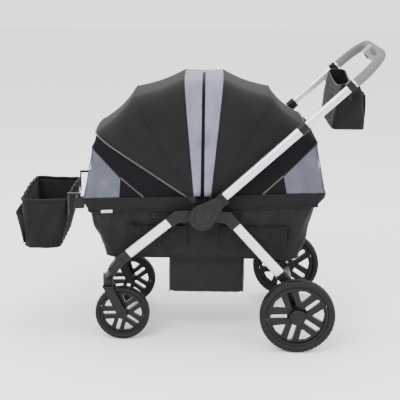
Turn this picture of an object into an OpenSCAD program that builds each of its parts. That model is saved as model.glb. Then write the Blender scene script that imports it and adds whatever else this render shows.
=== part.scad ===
// Folding stroller wagon: fabric tub on a scissor frame, two folding canopies,
// swivelling front wheels, a push handle that flips over, a front basket.
// X runs from the basket to the push handle, Z is up, the ground is Z = 0.

/* [Frame] */
// Height of the main fold pivot above the ground
hub_height = 503; // [490:1:520]
// Width of the fabric tub over its hem band
tub_width = 476; // [440:2:500]
// Radius of the round hub discs
hub_r = 45; // [38:1:46]
// Width of the oval leg tubes seen from the side
leg_tube_w = 37; // [30:1:40]
// Reach of the front legs from pivot to tube end
front_leg_len = 336; // [320:1:345]

/* [Wheels] */
// Diameter of the rear wheels
rear_wheel_d = 280; // [250:1:300]
// Width of the rear tyres
rear_tyre_w = 45; // [36:1:50]
// Diameter of the front swivel wheels
front_wheel_d = 207; // [190:1:210]
// Width of the front tyres
front_tyre_w = 40; // [32:1:42]
// Distance the front wheels trail behind their swivel axis
caster_trail = 54; // [48:1:58]

/* [Tub] */
// Distance from the pivot to the front end of the tub
tub_front = 441; // [425:1:445]
// Distance from the pivot to the rear end of the tub
tub_rear = 453; // [445:1:470]
// Height of the hem band round the rim
band_h = 50; // [40:1:60]
// Depth of the tub below the pivot
tub_depth = 176; // [160:1:190]
// Depth of the foot well below the tub floor
well_depth = 155; // [100:1:165]

/* [Canopy] */
// Radius of the canopy bows from their pivot
canopy_r = 432; // [410:1:440]
// Width of the canopies at the top
canopy_w = 452; // [430:1:460]
// Corner radius of the canopy bows
canopy_corner = 95; // [70:1:120]

/* [Handle] */
// Distance from the pivot to the middle of the grip
handle_reach = 865; // [850:1:900]
// Bend radius of the corners of the grip
grip_corner = 124; // [90:1:130]
// Radius of the foam on the grip
foam_r = 17; // [15:0.5:19]

/* [Basket] */
// Length of the front basket
basket_l = 172; // [140:1:176]
// Width of the front basket
basket_w = 380; // [300:1:400]
// Depth of the front basket
basket_h = 196; // [150:1:205]

/* [Hidden] */
$fn = 64;
eps = 0.01;
side = tub_width / 2;
// Layers outward from the tub side at the pivot.
y_cast = side + 16;
y_front = side + 16.3;
y_rear = side + 26.6;
y_cover = side + 37;
y_leg = side + 24;
y_arm = side + 38;
y_caster = side - 33;
y_wheel = side + 76;
pin_r = 8;
pin_end = side + 54;
tilt = 2.15;
rim_z = 66;
rear_r = rear_wheel_d / 2;
front_r = front_wheel_d / 2;
// Leg lines from the pivot, seen from the side.
front_elbow = [-92, -4];
front_top = [-121, -28];
front_end = [-front_leg_len * cos(29.9), -front_leg_len * sin(29.9)];
front_ang = atan2(front_top[1] - front_end[1], front_top[0] - front_end[0]);
rear_elbow = [94, -4];
rear_top = [126, -39];
rear_end = [309, -239];
rear_ang = atan2(rear_top[1] - rear_end[1], rear_end[0] - rear_top[0]);
rear_axle_p = [356, rear_r - hub_height];
head_x = -352;
head_z = front_wheel_d + 7 - hub_height;
wheel_x = head_x + caster_trail;
wheel_z = front_r - hub_height;
// Canopy pivots and the angles of the four bows.
piv_x = 31;
piv_z = 50;
bow_t = 2.6;
bow_w = 12;
bow_angles_front = [33, 58, 83, 92.6];
bow_angles_rear = [39, 60, 83, 92.6];
hoop_front_top = [-398, 264];
hoop_rear_top = [398, 300];
arm_ang = 42.7;
neck_d = 112;
collar_d = 492;
clip_d = 713;
basket_back = -502;
basket_top = 36;
front_most = basket_back - basket_l;
rear_most = handle_reach * cos(arm_ang) + foam_r;
mid_x = -(front_most + rear_most) / 2;

// Helpers: placing, pairs, bars and oval tubes.

module at_hub() {
  translate([mid_x, 0, hub_height])
    children();
}

module pair() {
  children();
  mirror([0, 1, 0])
    children();
}

// A flat shape drawn in X and Z, standing from y0 to y1 on the +Y side.
module slab(y0, y1) {
  translate([0, y1, 0])
    rotate([90, 0, 0])
      linear_extrude(y1 - y0)
        children();
}

module shaft(r, y0, y1, x = 0, z = 0) {
  translate([x, y1, z])
    rotate([90, 0, 0])
      cylinder(r = r, h = y1 - y0);
}

module bar2d(a, b, w) {
  d = b - a;
  translate(a)
    rotate(atan2(d[1], d[0]))
      translate([0, -w / 2])
        square([norm(d), w]);
}

module oval2d(t, w) {
  square([t, w - t], center = true);
  for (s = [-1, 1])
    translate([0, s * (w - t) / 2])
      circle(d = t);
}

// An oval bar from d0 to d1 along a line at angle a through point p.
module oval_bar(p, a, d0, d1, t, w, y) {
  translate([p[0], y, p[1]])
    rotate([0, -a, 0])
      translate([d0, 0, 0])
        rotate([90, 0, 90])
          linear_extrude(d1 - d0)
            oval2d(t, w);
}

module oval_pipe(p, a, d0, d1, t, w, y, wall) {
  difference() {
    oval_bar(p, a, d0, d1, t, w, y);
    oval_bar(p, a, d0 - 1, d1 + 1, t - 2 * wall, w - 2 * wall, y);
  }
}

module round_rect(x0, x1, hw, r) {
  translate([x0 + r, -hw])
    square([x1 - x0 - 2 * r, 2 * hw]);
  translate([x0, -hw + r])
    square([x1 - x0, 2 * hw - 2 * r]);
  for (x = [x0 + r, x1 - r], y = [-hw + r, hw - r])
    translate([x, y])
      circle(r = r);
}

module at_rim() {
  translate([0, 0, rim_z])
    rotate([0, -tilt, 0])
      children();
}

// Fixed body of the wagon.

module hub_castings() {
  color("#26262a") at_hub() pair() {
    difference() {
      union() {
        shaft(hub_r, side, y_cast);
        slab(side, side + 1.4) {
          translate([-44, 20])
            square([88, 30]);
          for (s = [-1, 1])
            translate([s * piv_x, piv_z])
              circle(r = 14);
        }
      }
      shaft(pin_r + 0.02, side + 6, y_cast + 1);
    }
  }
}

module pivot_pins() {
  color("#9a9ca0") at_hub() pair() {
    shaft(pin_r, side + 6, pin_end);
    for (s = [-1, 1])
      shaft(4, side + 1.4, side + 15, s * piv_x, piv_z);
  }
}

module rim_rail() {
  color("#b9bcc2") at_hub() at_rim()
    translate([0, 0, -22])
      linear_extrude(18)
        difference() {
          round_rect(-tub_front + 3.4, tub_rear - 3.4, side - 3.4, 42);
          round_rect(-tub_front + 17.4, tub_rear - 17.4, side - 17.4, 30);
        }
}

module tub_band() {
  color("#2d2c2f") at_hub() at_rim()
    translate([0, 0, -band_h])
      linear_extrude(band_h)
        difference() {
          round_rect(-tub_front, tub_rear, side, 45);
          round_rect(-tub_front + 3, tub_rear - 3, side - 3, 42);
        }
}

// The lower tub tapers from under the rim rail to a flat floor.
module tub_shape(g) {
  $fn = 32;
  hull() {
    at_rim()
      translate([0, 0, -25 + (g > 0 ? 1 : 0)])
        linear_extrude(1)
          round_rect(-tub_front + 5 + g, tub_rear - 5 - g, side - 5 - g, 40);
    translate([0, 0, -tub_depth + g])
      linear_extrude(1)
        round_rect(-tub_front + 80 + g, tub_rear - 90 - g, side - 24 - g, 40);
  }
}

module tub_body() {
  color("#2d2c2f") at_hub() difference() {
    tub_shape(0);
    tub_shape(3);
    translate([-113, -168, -tub_depth - 5])
      cube([263, 336, 20]);
  }
}

module foot_well() {
  color("#28272a") at_hub() difference() {
    translate([-118, -173, -tub_depth - well_depth])
      cube([273, 346, well_depth - 0.05]);
    translate([-114, -169, -tub_depth - well_depth + 4])
      cube([265, 338, well_depth]);
  }
}

module floor_boards() {
  color("#4a4038") at_hub() {
    translate([-tub_front + 92, -side + 45, -tub_depth + 3])
      cube([tub_front - 92 - 120, tub_width - 90, 5]);
    translate([158, -side + 45, -tub_depth + 3])
      cube([tub_rear - 102 - 158, tub_width - 90, 5]);
  }
}

module pad_front() {
  color("#3a393d") at_hub()
    translate([-tub_front + 94, -side + 47, -tub_depth + 8])
      cube([tub_front - 94 - 122, tub_width - 94, 26]);
}

module pad_rear() {
  color("#3a393d") at_hub()
    translate([160, -side + 47, -tub_depth + 8])
      cube([tub_rear - 104 - 160, tub_width - 94, 26]);
}

// A round-cornered bow drawn flat: half width w, height r, in Y and radius.
function arch(w0, w1, r, rc, r0) = concat(
  [[w0, r0], [w0, r0 + 60]],
  [for (a = [0 : 10 : 90]) [w1 - rc + rc * cos(a), r - rc + rc * sin(a)]],
  [for (a = [90 : 10 : 180]) [-w1 + rc + rc * cos(a), r - rc + rc * sin(a)]],
  [[-w0, r0 + 60], [-w0, r0]]
);

module arch_ring(w0, w1, r, rc, r0, t) {
  difference() {
    polygon(arch(w0, w1, r, rc, r0));
    polygon(arch(w0 - t, w1 - t, r - t, rc - t, r0 - 1));
  }
}

// Lays a shape drawn in Y and radius at an angle above the horizon.
module lay(dir, ang, x, z, thick) {
  translate([dir * x, 0, z])
    rotate([0, dir > 0 ? -ang : ang - 180, 0])
      translate([0, 0, -thick / 2])
        linear_extrude(thick)
          rotate(-90)
            children();
}

module hoop(dir, top, foot_x) {
  foot_z = rim_z + dir * foot_x * sin(tilt) + 0.7;
  run = [abs(top[0]) - foot_x, top[1] - foot_z];
  lay(dir, atan2(run[1], run[0]), foot_x, foot_z, 12)
    arch_ring(side - 6, canopy_w / 2 - 22, norm(run), 80, 0, 12);
}

module hoops() {
  color("#2c2c30") at_hub() {
    hoop(-1, hoop_front_top, 172);
    hoop(1, hoop_rear_top, 225);
  }
}

// End walls: a cloth wedge standing on the rim, open towards the seat.
module wall_shape(dir, top, far, near, g) {
  z0 = rim_z + 1.5;
  hull() {
    at_rim()
      translate([0, 0, g > 0 ? -2 : 0.5])
        linear_extrude(1)
          translate([dir > 0 ? near - g * 20 : -far + g, -side + 4 + g])
            square([far - near - g + g * 20, tub_width - 8 - 2 * g]);
    translate([top[0] + dir * 14 - 2 - dir * g - (dir > 0 ? g * 20 : 0), -canopy_w / 2 + 16 + g, top[1] - 14])
      cube([4 + g * 20, canopy_w - 32 - 2 * g, g > 0 ? 8 : 6]);
  }
}

module end_wall_front() {
  color("#6c6e7a") at_hub() difference() {
    wall_shape(-1, hoop_front_top, tub_front - 4, 296, 0);
    wall_shape(-1, hoop_front_top, tub_front - 4, 296, 2.5);
  }
}

module end_wall_rear() {
  color("#6c6e7a") at_hub() difference() {
    wall_shape(1, hoop_rear_top, tub_rear - 4, 305, 0);
    wall_shape(1, hoop_rear_top, tub_rear - 4, 305, 2.5);
  }
}

// A thin triangular sheet through three points.
module tri_sheet(a, b, c, t) {
  n = cross(b - a, c - a);
  u = n * t / norm(n);
  polyhedron(
    points = [a, b, c, a + u, b + u, c + u],
    faces = [[0, 1, 2], [5, 4, 3], [0, 3, 4, 1], [1, 4, 5, 2], [2, 5, 3, 0]]
  );
}

module mesh_windows() {
  color("#1c1c1f") at_hub() pair() {
    tri_sheet(
      [-292, side - 3.4, rim_z - 10.6],
      [-198, side - 3.4, rim_z - 7.1],
      [-382, canopy_w / 2 - 18, 238], 1.2);
    tri_sheet(
      [252, side - 3.4, rim_z + 10],
      [301, side - 3.4, rim_z + 11.9],
      [384, canopy_w / 2 - 18, 272], 1.2);
  }
}

module basket_bracket() {
  color("#c4c7cc") at_hub() at_rim() pair() {
    difference() {
      translate([-tub_front - 30, 178, -44])
        cube([30, 26, 42]);
      translate([-tub_front - 22, 182, -45])
        cube([10, 18, 44]);
    }
  }
}

// Canopy bows: flat strips with an eye at each end, stacked in layers.

module bow(dir, k) {
  yk = side + 2.4 + 3.2 * k + bow_t;
  difference() {
    union() {
      lay(dir, dir < 0 ? bow_angles_front[k] : bow_angles_rear[k], piv_x, piv_z, bow_w)
        difference() {
          polygon(arch(yk, canopy_w / 2 + 0.8 * k, canopy_r, canopy_corner, 0));
          polygon(arch(yk - bow_t, canopy_w / 2 + 0.8 * k - bow_t - 1, canopy_r - 6, canopy_corner - 5, -1));
        }
      pair()
        shaft(9, yk - bow_t - 0.15, yk + 0.15, dir * piv_x, piv_z);
    }
    shaft(4.06, -side - 20, side + 20, dir * piv_x, piv_z);
  }
}

// Canopy cloth between two neighbouring bows, a thin closed sheet.
module panel(dir, a0, a1, w) {
  lo = arch(side + 17, w / 2 + 6, canopy_r + 5, canopy_corner + 4, 75);
  inn = arch(side + 16, w / 2 + 5, canopy_r + 4, canopy_corner + 3, 75);
  n = len(lo);
  function put(p, a) = [dir * (piv_x + p[1] * cos(a)), p[0], piv_z + p[1] * sin(a)];
  pts = concat(
    [for (p = lo) put(p, a0)],
    [for (p = lo) put(p, a1)],
    [for (p = inn) put(p, a1)],
    [for (p = inn) put(p, a0)]
  );
  strips = [for (i = [0 : n - 2], q = [0 : 3]) [q * n + i, q * n + i + 1, ((q + 1) % 4) * n + i + 1, ((q + 1) % 4) * n + i]];
  ends = [[0, n, 2 * n, 3 * n], [4 * n - 1, 3 * n - 1, 2 * n - 1, n - 1]];
  tri = [for (f = concat(strips, ends), h = [0, 1]) h == 0 ? [f[0], f[1], f[2]] : [f[0], f[2], f[3]]];
  polyhedron(points = pts, faces = dir > 0 ? tri : [for (f = tri) [f[2], f[1], f[0]]]);
}

module end_bows() {
  color("#6e6e6c") at_hub() {
    bow(-1, 0);
    bow(1, 0);
  }
}

module mid_bow_front() {
  color("#303034") at_hub() bow(-1, 1);
}

module top_bow_front() {
  color("#303034") at_hub() bow(-1, 2);
}

module visor_bow_front() {
  color("#303034") at_hub() bow(-1, 3);
}

module mid_bow_rear() {
  color("#303034") at_hub() bow(1, 1);
}

module top_bow_rear() {
  color("#303034") at_hub() bow(1, 2);
}

module visor_bow_rear() {
  color("#303034") at_hub() bow(1, 3);
}

module end_panel_front() {
  color("#2d2c2f") at_hub() panel(-1, bow_angles_front[0], bow_angles_front[1] - 0.2, canopy_w);
}

module mid_panel_front() {
  color("#2d2c2f") at_hub() panel(-1, bow_angles_front[1], bow_angles_front[2] - 0.2, canopy_w);
}

module visor_panel_front() {
  color("#898998") at_hub() panel(-1, bow_angles_front[2], bow_angles_front[3] + 0.6, canopy_w);
}

module end_panel_rear() {
  color("#2d2c2f") at_hub() panel(1, bow_angles_rear[0], bow_angles_rear[1] - 0.2, canopy_w);
}

module mid_panel_rear() {
  color("#2d2c2f") at_hub() panel(1, bow_angles_rear[1], bow_angles_rear[2] - 0.2, canopy_w);
}

module visor_panel_rear() {
  color("#898998") at_hub() panel(1, bow_angles_rear[2], bow_angles_rear[3] + 0.6, canopy_w);
}

// Scissor legs.

module elbow(y0, y1, knee, top, ang) {
  far = top + 6 * [cos(ang), sin(ang)];
  difference() {
    union() {
      shaft(hub_r, y0, y1);
      slab(y0, y1)
        bar2d([0, 0], knee, 40);
      difference() {
        slab(side + 12, side + 36)
          union() {
            bar2d([sign(knee[0]) * 40, 0], knee, 44);
            translate(knee)
              circle(r = 22.4);
            bar2d(knee, top, 43);
          }
        shaft(hub_r + 2.5, side + 10, side + 38);
      }
      oval_bar(top, ang, -4, 32, 14, leg_tube_w - 6, y_leg);
    }
    shaft(pin_r + 0.06, y0 - 1, y1 + 1);
  }
}

module front_elbows() {
  color("#303034") at_hub() pair()
    elbow(y_front, y_front + 10, front_elbow, front_top, 180 + front_ang);
}

module rear_elbows() {
  color("#303034") at_hub() pair()
    elbow(y_rear, y_rear + 10, rear_elbow, rear_top, -rear_ang);
}

module front_tubes() {
  color("#c8ccd4") at_hub() pair()
    oval_pipe(front_top, 180 + front_ang, 0, norm(front_end - front_top), 20, leg_tube_w, y_leg, 2);
}

module rear_tubes() {
  color("#c8ccd4") at_hub() pair()
    oval_pipe(rear_top, -rear_ang, 0, norm(rear_end - rear_top), 20, leg_tube_w, y_leg, 2);
}

// A round rod between two points in space.
module rod(a, b, r) {
  d = b - a;
  translate(a)
    rotate([0, acos(d[2] / norm(d)), atan2(d[1], d[0])])
      cylinder(r = r, h = norm(d));
}

module front_knuckles() {
  bend = [head_x + 22, y_caster + 42, head_z + 68];
  low = [head_x, y_caster, head_z + 30];
  color("#303034") at_hub() pair() difference() {
    union() {
      oval_bar(front_end, 180 + front_ang, -28, 14, 24.4, leg_tube_w + 5, y_leg);
      rod([front_end[0], y_leg, front_end[1]], bend, 17);
      translate(bend)
        sphere(r = 18.5);
      rod(bend, low, 16.5);
      translate(low)
        sphere(r = 18);
      translate([head_x, y_caster, head_z])
        cylinder(r = 19, h = 42);
    }
    oval_bar(front_end, 180 + front_ang, -40, 0.5, 20.2, leg_tube_w + 0.2, y_leg);
    translate([head_x, y_caster, head_z - 1])
      cylinder(r = 7.55, h = 46);
    shaft(10.05, 0, y_caster + 30.2, head_x + 24, head_z + 68);
  }
}

module front_cross_tube() {
  color("#303034") at_hub()
    shaft(10, -y_caster - 30, y_caster + 30, head_x + 24, head_z + 68);
}

module rear_brackets() {
  color("#303034") at_hub() pair() difference() {
    union() {
      difference() {
        oval_bar(rear_end, -rear_ang, -28, 12, 24.4, leg_tube_w + 5, y_leg);
        oval_bar(rear_end, -rear_ang, -40, 0.5, 20.2, leg_tube_w + 0.2, y_leg);
      }
      slab(side + 12, side + 36)
        union() {
          bar2d(rear_end + [7, -7], rear_axle_p, leg_tube_w);
          translate(rear_axle_p + [0, 14])
            circle(r = 30);
        }
      shaft(22, side + 12, side + 48, rear_axle_p[0], rear_axle_p[1]);
    }
    oval_bar(rear_end, -rear_ang, -40, 0.5, 20.2, leg_tube_w + 0.2, y_leg);
    shaft(6.05, side + 10, side + 50, rear_axle_p[0], rear_axle_p[1]);
    shaft(3.55, side + 10, side + 50, rear_axle_p[0], rear_axle_p[1] + 30);
  }
}

module rear_axle() {
  color("#8d8f94") at_hub() {
    shaft(11, -side - 11.8, side + 11.8, rear_axle_p[0], rear_axle_p[1]);
    shaft(6, -y_wheel - 20, y_wheel + 20, rear_axle_p[0], rear_axle_p[1]);
  }
}

// Swivel forks of the front wheels.

module caster_fork(s) {
  y0 = s * y_caster;
  arm_in = front_tyre_w / 2 + 3;
  color("#303034") at_hub() translate([0, y0, 0]) {
    translate([head_x, 0, head_z - 8])
      cylinder(r = 7.5, h = 50);
    translate([head_x, 0, head_z - 9])
      cylinder(r = 19, h = 8.7);
    translate([head_x - 19, -arm_in - 7, head_z - 5])
      cube([33, 2 * arm_in + 14, 4.7]);
    for (q = [-1, 1])
      translate([0, q > 0 ? 0 : -2 * arm_in - 7, 0])
        slab(arm_in, arm_in + 7) {
          polygon([
            [head_x - 19, head_z - 0.3], [head_x + 19, head_z - 0.3],
            [wheel_x + 17, wheel_z + 6], [wheel_x - 17, wheel_z - 6]
          ]);
          translate([wheel_x, wheel_z])
            circle(r = 18);
        }
    shaft(5, -arm_in - 9, arm_in + 9, wheel_x, wheel_z);
  }
}

module caster_fork_left() {
  caster_fork(-1);
}

module caster_fork_right() {
  caster_fork(1);
}

// Wheels: moulded rims with five slots and five windows, solid tyres.

module rim2d(r) {
  difference() {
    circle(r = r * 0.8, $fn = 96);
    for (i = [0 : 4]) {
      rotate(38 + 72 * i) {
        translate([r * 0.27, -r * 0.065])
          square([r * 0.38, r * 0.13]);
        for (d = [r * 0.27, r * 0.65])
          translate([d, 0])
            circle(r = r * 0.065);
      }
      rotate(74 + 72 * i)
        polygon([
          [r * 0.40, -r * 0.02], [r * 0.67, -r * 0.19], [r * 0.71, 0],
          [r * 0.67, r * 0.19], [r * 0.40, r * 0.02]
        ]);
    }
  }
}

module rim(r, w, bore, holes) {
  difference() {
    union() {
      rotate([90, 0, 0])
        translate([0, 0, -w * 0.2])
          linear_extrude(w * 0.4)
            rim2d(r);
      rotate([90, 0, 0])
        translate([0, 0, -w * 0.38])
          linear_extrude(w * 0.76)
            difference() {
              circle(r = r * 0.8, $fn = 96);
              circle(r = r * 0.74, $fn = 96);
            }
      shaft(r * 0.19, -w * 0.5, w * 0.5);
      if (holes)
        shaft(38, -w * 0.5, -w * 0.1);
    }
    shaft(bore, -w, w);
    if (holes)
      for (i = [0 : 11])
        rotate([0, 30 * i, 0])
          shaft(4.2, -w, -w * 0.5 + 12, 0, 30);
  }
}

module tyre(r, w) {
  rotate([90, 0, 0])
    rotate_extrude($fn = 96)
      union() {
        translate([r * 0.8 + 0.1, -w * 0.38])
          square([r * 0.2 - w * 0.2, w * 0.76]);
        translate([r * 0.8 + 6, -w * 0.5])
          square([r * 0.2 - 14, w]);
        translate([r * 0.86, -w * 0.34])
          square([r * 0.14, w * 0.68]);
        for (s = [-1, 1])
          translate([r - w * 0.16, s * w * 0.34])
            circle(r = w * 0.16);
      }
}

module front_rim(s) {
  color("#35353a") at_hub()
    translate([wheel_x, s * y_caster, wheel_z])
      rim(front_r, front_tyre_w, 5.06, false);
}

module front_tyre(s) {
  color("#2a2a2c") at_hub()
    translate([wheel_x, s * y_caster, wheel_z])
      tyre(front_r, front_tyre_w);
}

module rear_rim(s) {
  color("#35353a") at_hub()
    translate([rear_axle_p[0], s * y_wheel, rear_axle_p[1]])
      mirror([0, s > 0 ? 0 : 1, 0])
        rim(rear_r, rear_tyre_w, 6.06, true);
}

module rear_tyre(s) {
  color("#2a2a2c") at_hub()
    translate([rear_axle_p[0], s * y_wheel, rear_axle_p[1]])
      tyre(rear_r, rear_tyre_w);
}

module front_rim_left() {
  front_rim(-1);
}

module front_rim_right() {
  front_rim(1);
}

module front_tyre_left() {
  front_tyre(-1);
}

module front_tyre_right() {
  front_tyre(1);
}

module rear_rim_left() {
  rear_rim(-1);
}

module rear_rim_right() {
  rear_rim(1);
}

module rear_tyre_left() {
  rear_tyre(-1);
}

module rear_tyre_right() {
  rear_tyre(1);
}

// Foot brake: a pedal turning on the axle tube pushes a pin into each wheel.

module brake_pedal() {
  color("#3a3a3e") at_hub() difference() {
    union() {
      shaft(16, -55, 55, rear_axle_p[0], rear_axle_p[1]);
      translate([rear_axle_p[0] + 8, -50, rear_axle_p[1] + 4])
        rotate([0, -12, 0])
          cube([52, 100, 8]);
    }
    shaft(11.06, -60, 60, rear_axle_p[0], rear_axle_p[1]);
  }
}

module brake_pin(s) {
  color("#9a9ca0") at_hub() mirror([0, s > 0 ? 0 : 1, 0]) {
    shaft(3.5, side + 16, side + 52, rear_axle_p[0], rear_axle_p[1] + 30);
    shaft(6, side + 4, side + 5.5, rear_axle_p[0], rear_axle_p[1] + 30);
    shaft(3.5, side + 5, side + 17, rear_axle_p[0], rear_axle_p[1] + 30);
  }
}

module brake_pin_left() {
  brake_pin(-1);
}

module brake_pin_right() {
  brake_pin(1);
}

// Push handle: hub covers, telescopic tubes, grip loop.

module on_arm(d, y = 0) {
  translate([d * cos(arm_ang), y, d * sin(arm_ang)])
    rotate([0, -arm_ang, 0])
      children();
}

module handle_hubs() {
  color("#2b2b2e") at_hub() pair() difference() {
    union() {
      shaft(hub_r + 3, y_cover, side + 60);
      slab(y_cover, side + 56)
        bar2d([0, 0], neck_d * [cos(arm_ang), sin(arm_ang)], 46);
      difference() {
        slab(side + 27, side + 56)
          bar2d(60 * [cos(arm_ang), sin(arm_ang)], neck_d * [cos(arm_ang), sin(arm_ang)], 46);
        shaft(hub_r + 4, side + 20, y_cover);
      }
    }
    shaft(pin_r + 0.06, y_cover - 1, side + 55);
    slab(side + 57, side + 61)
      rotate(arm_ang)
        translate([-12, 0]) {
          square([34, 34], center = true);
          for (q = [-1, 1])
            translate([q * 17, 0])
              circle(r = 17);
        }
    oval_bar([0, 0], arm_ang, neck_d - 22, neck_d + 1, 22.2, 34.2, y_arm);
  }
}

module outer_tubes() {
  color("#c8ccd4") at_hub() pair()
    oval_pipe([0, 0], arm_ang, neck_d - 22, collar_d, 22, 34, y_arm, 1.5);
}

module collars() {
  color("#2b2b2e") at_hub() pair() difference() {
    oval_bar([0, 0], arm_ang, collar_d - 22, collar_d + 12, 28, 41, y_arm);
    oval_bar([0, 0], arm_ang, collar_d - 30, collar_d + 0.05, 22.2, 34.2, y_arm);
    oval_bar([0, 0], arm_ang, collar_d - 30, collar_d + 20, 18, 30, y_arm);
  }
}

// The loop's straight ends, its two corners and its cross bar, each run a
// hair thinner than the bend it plugs into.
module loop_run(r, d0) {
  run = handle_reach - grip_corner - d0 + 0.5;
  pair() {
    on_arm(d0, y_arm)
      rotate([0, 90, 0])
        cylinder(r = r - 0.15, h = run);
    on_arm(handle_reach - grip_corner, y_arm - grip_corner)
      rotate_extrude(angle = 90)
        translate([grip_corner, 0])
          circle(r = r);
  }
  on_arm(handle_reach, -y_arm + grip_corner - 0.5)
    rotate([-90, 0, 0])
      cylinder(r = r - 0.15, h = 2 * (y_arm - grip_corner) + 1);
}

module handle_loop() {
  color("#c8ccd4") at_hub() {
    pair()
      oval_pipe([0, 0], arm_ang, 395, 728, 17, 29, y_arm, 1.5);
    loop_run(12.5, 726);
  }
}

module grip_foam() {
  color("#878784") at_hub() difference() {
    loop_run(foam_r, handle_reach - grip_corner - 12);
    loop_run(12.6, handle_reach - grip_corner - 20);
  }
}

module handle_clips() {
  color("#2b2b2e") at_hub() pair() {
    difference() {
      on_arm(clip_d, y_arm)
        translate([-16, -12.5, -20])
          cube([26, 25, 40]);
      oval_bar([0, 0], arm_ang, clip_d - 30, clip_d + 30, 17.2, 29.2, y_arm);
    }
    shaft(4, side, y_arm - 12, clip_d * cos(arm_ang), clip_d * sin(arm_ang) - 10);
  }
}

module release_housing() {
  color("#a2a2a6") at_hub() difference() {
    on_arm(handle_reach, 0)
      translate([-38, -32, -21])
        cube([40, 64, 42]);
    on_arm(handle_reach, 0)
      rotate([90, 0, 0])
        cylinder(r = foam_r + 0.1, h = 80, center = true);
    on_arm(handle_reach, 0)
      translate([-40, -16.3, -9.3])
        cube([16, 32.6, 18.6]);
  }
}

module release_button() {
  color("#232326") at_hub() on_arm(handle_reach, 0)
    translate([-42, -16, -9])
      cube([11, 32, 18]);
}

// Organizer bag hanging between the handle tubes.

module organizer_bag() {
  cx = clip_d * cos(arm_ang);
  cz = clip_d * sin(arm_ang);
  color("#2d2c2f") at_hub() difference() {
    translate([cx - 52, -side + 12, cz - 172])
      cube([118, tub_width - 24, 172]);
    translate([cx - 49, -side + 15, cz - 169])
      cube([112, tub_width - 30, 180]);
  }
}

module organizer_rings() {
  cx = clip_d * cos(arm_ang);
  cz = clip_d * sin(arm_ang) - 10;
  color("#232326") at_hub() pair() difference() {
    union() {
      shaft(9, side + 4, side + 8, cx, cz);
      translate([cx - 7, side - 11.95, cz - 50])
        cube([14, 4, 44]);
      translate([cx - 7, side - 10, cz - 22])
        cube([14, 18, 6]);
      translate([cx - 7, side + 4, cz - 22])
        cube([14, 4, 16]);
    }
    shaft(4.06, side - 20, side + 20, cx, cz);
  }
}

// Front basket hanging on two tongues in the rim brackets.

module basket_bag() {
  color("#2d2c2f") at_hub() difference() {
    translate([basket_back - basket_l, -basket_w / 2, basket_top - basket_h])
      cube([basket_l, basket_w, basket_h]);
    translate([basket_back - basket_l + 4, -basket_w / 2 + 4, basket_top - basket_h + 4])
      cube([basket_l - 8, basket_w - 8, basket_h]);
  }
}

module basket_arms() {
  color("#c4c7cc") at_hub() pair() {
    translate([basket_back + 0.3, 184, basket_top - 60])
      cube([5, 14, 81]);
    translate([basket_back + 0.3, 183, basket_top + 18])
      cube([-tub_front - 10 - basket_back, 16, 7]);
    at_rim()
      translate([-tub_front - 21, 184.5, -40])
        cube([8, 13, 47]);
  }
}

hub_castings();
pivot_pins();
rim_rail();
tub_band();
tub_body();
foot_well();
floor_boards();
pad_front();
pad_rear();
hoops();
end_wall_front();
end_wall_rear();
mesh_windows();
basket_bracket();
end_bows();
front_elbows();
front_tubes();
front_knuckles();
front_cross_tube();
rear_elbows();
rear_tubes();
rear_brackets();
rear_axle();
caster_fork_left();
caster_fork_right();
front_rim_left();
front_rim_right();
front_tyre_left();
front_tyre_right();
rear_rim_left();
rear_rim_right();
rear_tyre_left();
rear_tyre_right();
brake_pedal();
brake_pin_left();
brake_pin_right();
handle_hubs();
outer_tubes();
collars();
handle_loop();
grip_foam();
handle_clips();
release_housing();
release_button();
organizer_bag();
organizer_rings();
mid_bow_front();
top_bow_front();
visor_bow_front();
mid_bow_rear();
top_bow_rear();
visor_bow_rear();
end_panel_front();
mid_panel_front();
visor_panel_front();
end_panel_rear();
mid_panel_rear();
visor_panel_rear();
basket_bag();
basket_arms();
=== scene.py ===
import math
import bmesh
import bpy
import numpy as np
from mathutils import Matrix


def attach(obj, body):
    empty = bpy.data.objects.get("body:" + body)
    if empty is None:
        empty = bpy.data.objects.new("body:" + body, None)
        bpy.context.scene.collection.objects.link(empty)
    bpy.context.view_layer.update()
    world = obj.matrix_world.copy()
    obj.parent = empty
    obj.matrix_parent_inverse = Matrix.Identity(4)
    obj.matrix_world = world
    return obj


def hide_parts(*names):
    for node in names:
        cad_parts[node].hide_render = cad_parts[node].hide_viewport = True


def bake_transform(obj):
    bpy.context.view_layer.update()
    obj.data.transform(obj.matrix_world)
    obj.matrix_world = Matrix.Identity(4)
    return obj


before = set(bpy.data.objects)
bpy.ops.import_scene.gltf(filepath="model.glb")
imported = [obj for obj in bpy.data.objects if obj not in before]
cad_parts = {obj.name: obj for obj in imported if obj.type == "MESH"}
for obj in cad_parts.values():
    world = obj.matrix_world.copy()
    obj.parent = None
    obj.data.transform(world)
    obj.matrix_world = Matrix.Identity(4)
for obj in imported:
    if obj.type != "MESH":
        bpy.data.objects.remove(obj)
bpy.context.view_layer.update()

# The fold pivot of the frame: every leg, the push handle and both canopies
# turn about or near it. Distances below are taken from it, in metres.
hub = np.array([0.01065, 0.0, 0.503])
side = 0.238
hands = ((-1, "left"), (1, "right"))


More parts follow.
